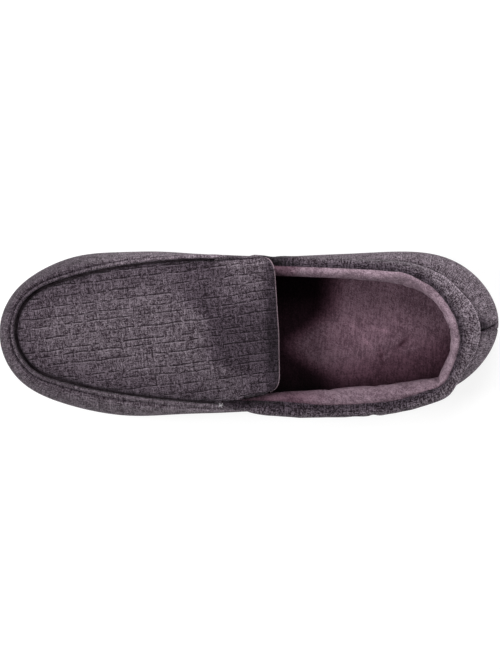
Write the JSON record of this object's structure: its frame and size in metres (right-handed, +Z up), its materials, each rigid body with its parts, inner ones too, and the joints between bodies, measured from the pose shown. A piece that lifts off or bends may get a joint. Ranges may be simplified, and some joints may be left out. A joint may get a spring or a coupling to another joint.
{
  "type": "moccasin slipper",
  "caption": "Left moccasin slipper in dark heather cloth with a raised toe seam, a free tongue flap, a padded cuff and a moulded rubber sole.",
  "frame": {"origin": "on the floor under the middle of the shoe's box", "axes": "+X from toe to heel, +Y to the big toe's side, +Z up"},
  "size_m": [0.28, 0.0929, 0.0624],
  "materials": {
    "heather_cloth": "matt heather cloth with a dashed rib",
    "cuff_plush": "matt plush",
    "lining_velour": "soft brushed velour",
    "sole_rubber": "matt moulded rubber"
  },
  "bodies": {
    "root": {"outsole": "sole_rubber", "insole": "lining_velour", "upper": "heather_cloth", "apron": "heather_cloth", "cuff": "cuff_plush"}
  },
  "joints": []
}
